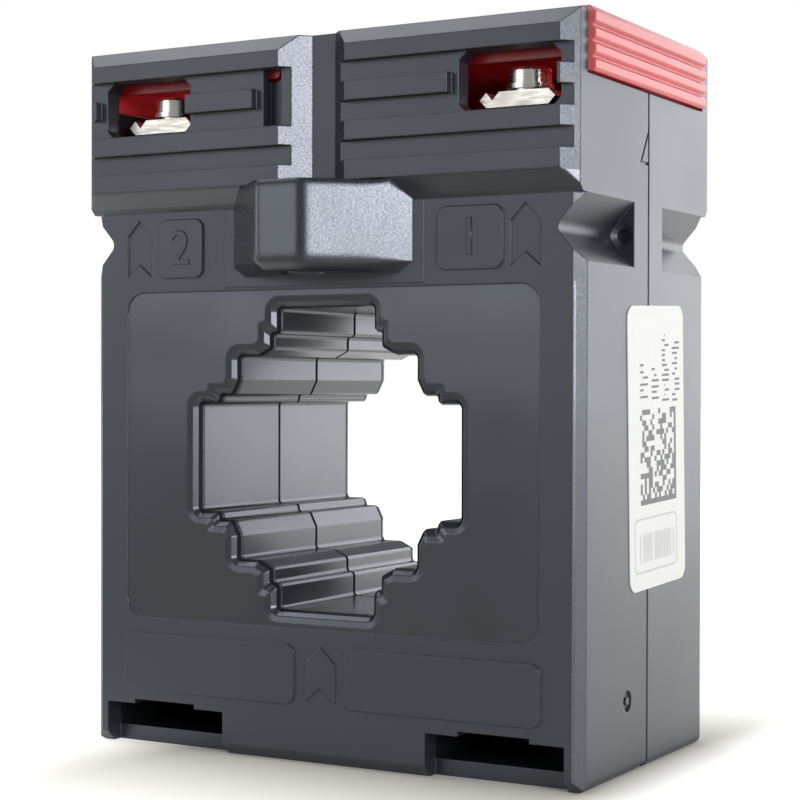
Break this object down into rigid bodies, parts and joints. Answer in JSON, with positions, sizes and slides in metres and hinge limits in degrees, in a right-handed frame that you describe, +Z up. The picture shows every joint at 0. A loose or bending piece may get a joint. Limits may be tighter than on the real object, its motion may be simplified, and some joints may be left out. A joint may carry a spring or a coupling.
{
  "type": "current transformer",
  "caption": "Plastic-cased ring-core current transformer with a stepped busbar opening, clamp bosses and secondary terminals under hinged translucent covers.",
  "frame": {"origin": "bottom centre of the housing, on the plane where the two half shells meet", "axes": "+X across the housing to the right seen from the front, +Y through the busbar opening from front to rear, +Z up"},
  "size_m": [0.0612, 0.0502, 0.0774],
  "materials": {
    "housing": "black polycarbonate, satin on the faces and fine-textured on the bevels",
    "terminal_cover": "translucent red polycarbonate",
    "terminal_plate": "bright nickel plating on brass",
    "clamp_washer": "bright nickel plating",
    "screw": "polished nickel plating",
    "insert": "bare brass",
    "core_strip": "wound silicon steel strip",
    "core_cap": "natural nylon",
    "winding": "enamelled copper wire",
    "tape": "polyester insulating tape",
    "lead": "insulated copper wire",
    "label": "printed white film"
  },
  "bodies": {
    "housing": {"front_shell": "housing", "rear_shell": "housing", "s1_terminal_bar": "terminal_plate", "s2_terminal_bar": "terminal_plate", "front_insert": "insert", "rear_insert": "insert", "core": "core_strip", "core_cap_front": "core_cap", "core_cap_rear": "core_cap", "secondary_winding": "winding", "winding_tape": "tape", "s1_lead": "lead", "s2_lead": "lead", "rating_label": "label"},
    "s1_cover": {"s1_cover": "terminal_cover"},
    "s2_cover": {"s2_cover": "terminal_cover"},
    "s1_front_clamp": {"s1_front_clamp": "clamp_washer"},
    "s1_front_screw": {"s1_front_screw": "screw"},
    "s1_rear_clamp": {"s1_rear_clamp": "clamp_washer"},
    "s1_rear_screw": {"s1_rear_screw": "screw"},
    "s2_front_clamp": {"s2_front_clamp": "clamp_washer"},
    "s2_front_screw": {"s2_front_screw": "screw"},
    "s2_rear_clamp": {"s2_rear_clamp": "clamp_washer"},
    "s2_rear_screw": {"s2_rear_screw": "screw"}
  },
  "joints": [
    {"name": "s1_cover_hinge", "type": "hinge", "parent": "housing", "child": "s1_cover", "pos_m": [0.0062, 0, 0.0736], "axis": [0, -1, 0], "range_deg": [0, 90]},
    {"name": "s2_cover_hinge", "type": "hinge", "parent": "housing", "child": "s2_cover", "pos_m": [-0.0062, 0, 0.0736], "axis": [0, 1, 0], "range_deg": [0, 90]},
    {"name": "s1_front_clamp_lift", "type": "slide", "parent": "housing", "child": "s1_front_clamp", "axis": [0, 0, 1], "range_m": [-0.0004, 0.0024]},
    {"name": "s1_front_screw_turn", "type": "hinge", "parent": "s1_front_clamp", "child": "s1_front_screw", "pos_m": [0.02205, -0.0121, 0.0705], "axis": [0, 0, 1], "range_deg": [-206.5, 1235]},
    {"name": "s1_rear_clamp_lift", "type": "slide", "parent": "housing", "child": "s1_rear_clamp", "axis": [0, 0, 1], "range_m": [-0.0004, 0.0024]},
    {"name": "s1_rear_screw_turn", "type": "hinge", "parent": "s1_rear_clamp", "child": "s1_rear_screw", "pos_m": [0.02205, 0.0121, 0.0705], "axis": [0, 0, 1], "range_deg": [-206.5, 1235]},
    {"name": "s2_front_clamp_lift", "type": "slide", "parent": "housing", "child": "s2_front_clamp", "axis": [0, 0, 1], "range_m": [-0.0004, 0.0024]},
    {"name": "s2_front_screw_turn", "type": "hinge", "parent": "s2_front_clamp", "child": "s2_front_screw", "pos_m": [-0.02205, -0.0121, 0.0705], "axis": [0, 0, 1], "range_deg": [-206.5, 1235]},
    {"name": "s2_rear_clamp_lift", "type": "slide", "parent": "housing", "child": "s2_rear_clamp", "axis": [0, 0, 1], "range_m": [-0.0004, 0.0024]},
    {"name": "s2_rear_screw_turn", "type": "hinge", "parent": "s2_rear_clamp", "child": "s2_rear_screw", "pos_m": [-0.02205, 0.0121, 0.0705], "axis": [0, 0, 1], "range_deg": [-206.5, 1235]}
  ],
  "couplings": [
    {"joint": "s1_front_screw_turn", "follows": "s1_front_clamp_lift", "rad_per_m": 8976},
    {"joint": "s1_rear_screw_turn", "follows": "s1_rear_clamp_lift", "rad_per_m": 8976},
    {"joint": "s2_front_screw_turn", "follows": "s2_front_clamp_lift", "rad_per_m": 8976},
    {"joint": "s2_rear_screw_turn", "follows": "s2_rear_clamp_lift", "rad_per_m": 8976}
  ]
}
